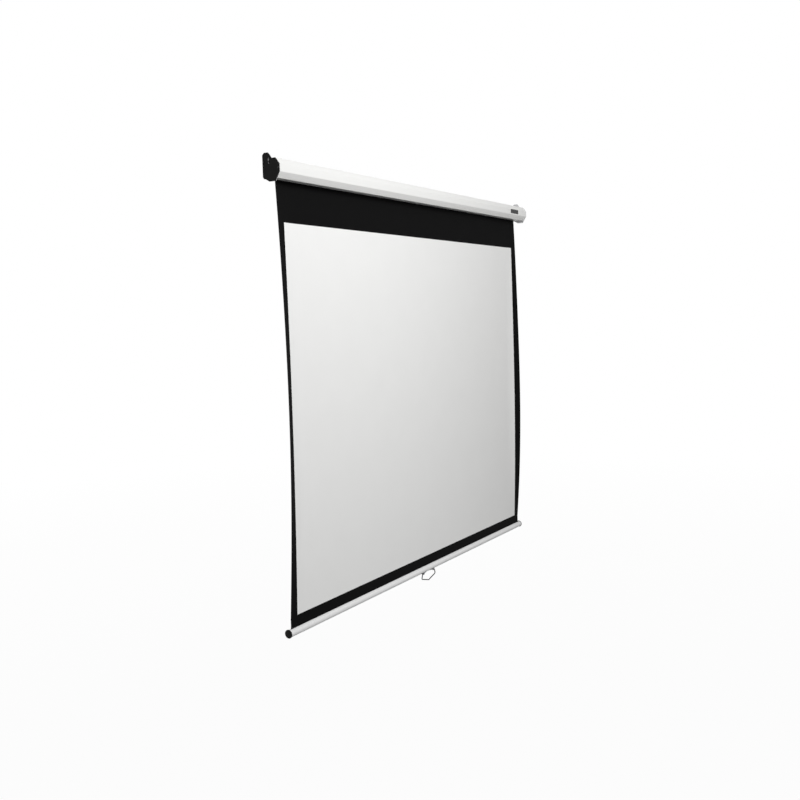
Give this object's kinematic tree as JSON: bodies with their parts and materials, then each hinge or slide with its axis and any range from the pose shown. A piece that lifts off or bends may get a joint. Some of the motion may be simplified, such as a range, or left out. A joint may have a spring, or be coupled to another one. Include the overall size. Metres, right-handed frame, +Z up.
{
  "type": "pull down projector screen",
  "caption": "Wall-hung manual projection screen: slim case with a spring roller, black-masked 4:3 fabric, round weight bar and wire pull handle.",
  "frame": {"origin": "centre of the case's flat back face, on the wall", "axes": "+X to the right as seen from the front, the front faces -Y, +Z up"},
  "size_m": [1.8562, 0.0685, 1.59],
  "materials": {
    "white_case": "satin",
    "black_plastic": "satin",
    "black_screw": "satin",
    "badge": "gloss",
    "steel": "satin",
    "grey_plastic": "matte",
    "nylon": "satin",
    "screen_fabric": "matte",
    "black_fabric": "matte",
    "aluminium": "satin",
    "dark_wire": "satin"
  },
  "bodies": {
    "mounted_case": {"case_shell": "white_case", "left_hanger_plate": "steel", "right_hanger_plate": "steel", "left_end_plate": "black_plastic", "right_end_plate": "black_plastic", "left_upper_screw": "black_screw", "left_lower_screw": "black_screw", "left_front_screw": "black_screw", "right_upper_screw": "black_screw", "right_lower_screw": "black_screw", "right_front_screw": "black_screw", "badge": "badge", "spindle": "steel", "spindle_clip": "steel", "torsion_spring": "steel", "lock_wheel": "steel", "spring_bracket": "grey_plastic", "idler_bracket": "grey_plastic", "idler_bush": "nylon", "screen_fabric": "screen_fabric"},
    "roller": {"roller_tube": "aluminium", "fabric_turns": "black_fabric", "spring_plug": "black_plastic", "spindle_bush": "nylon", "spring_anchor": "black_plastic", "upper_pawl_pin": "steel", "lower_pawl_pin": "steel", "idler_plug": "black_plastic", "idler_pin": "steel"},
    "bar": {"bar_tube": "aluminium", "left_bar_cap": "black_plastic", "right_bar_cap": "black_plastic", "hem_rod": "nylon", "lower_fabric_band": "black_fabric", "left_handle_eye": "grey_plastic", "right_handle_eye": "grey_plastic", "left_rivet": "steel", "right_rivet": "steel"},
    "handle": {"pull_handle": "dark_wire"},
    "upper_pawl": {"upper_pawl": "steel"},
    "lower_pawl": {"lower_pawl": "steel"}
  },
  "joints": [
    {"name": "bar_slide", "type": "slide", "parent": "mounted_case", "child": "bar", "axis": [0, 0, 1], "range_m": [0, 1.447], "deforming": ["screen_fabric"]},
    {"name": "roller_spin", "type": "hinge", "parent": "mounted_case", "child": "roller", "pos_m": [0, -0.034, 0], "axis": [1, 0, 0], "range_deg": [0, 4141]},
    {"name": "handle_swing", "type": "hinge", "parent": "bar", "child": "handle", "pos_m": [0, -0.0242, -1.5052], "axis": [1, 0, 0], "range_deg": [-120, 80]},
    {"name": "upper_pawl_drop", "type": "hinge", "parent": "roller", "child": "upper_pawl", "pos_m": [-0.9018, -0.034, 0.014], "axis": [1, 0, 0], "range_deg": [0, 12]},
    {"name": "lower_pawl_drop", "type": "hinge", "parent": "roller", "child": "lower_pawl", "pos_m": [-0.9018, -0.034, -0.014], "axis": [1, 0, 0], "range_deg": [0, 12]}
  ],
  "couplings": [
    {"joint": "roller_spin", "follows": "bar_slide", "rad_per_m": 49.935}
  ]
}
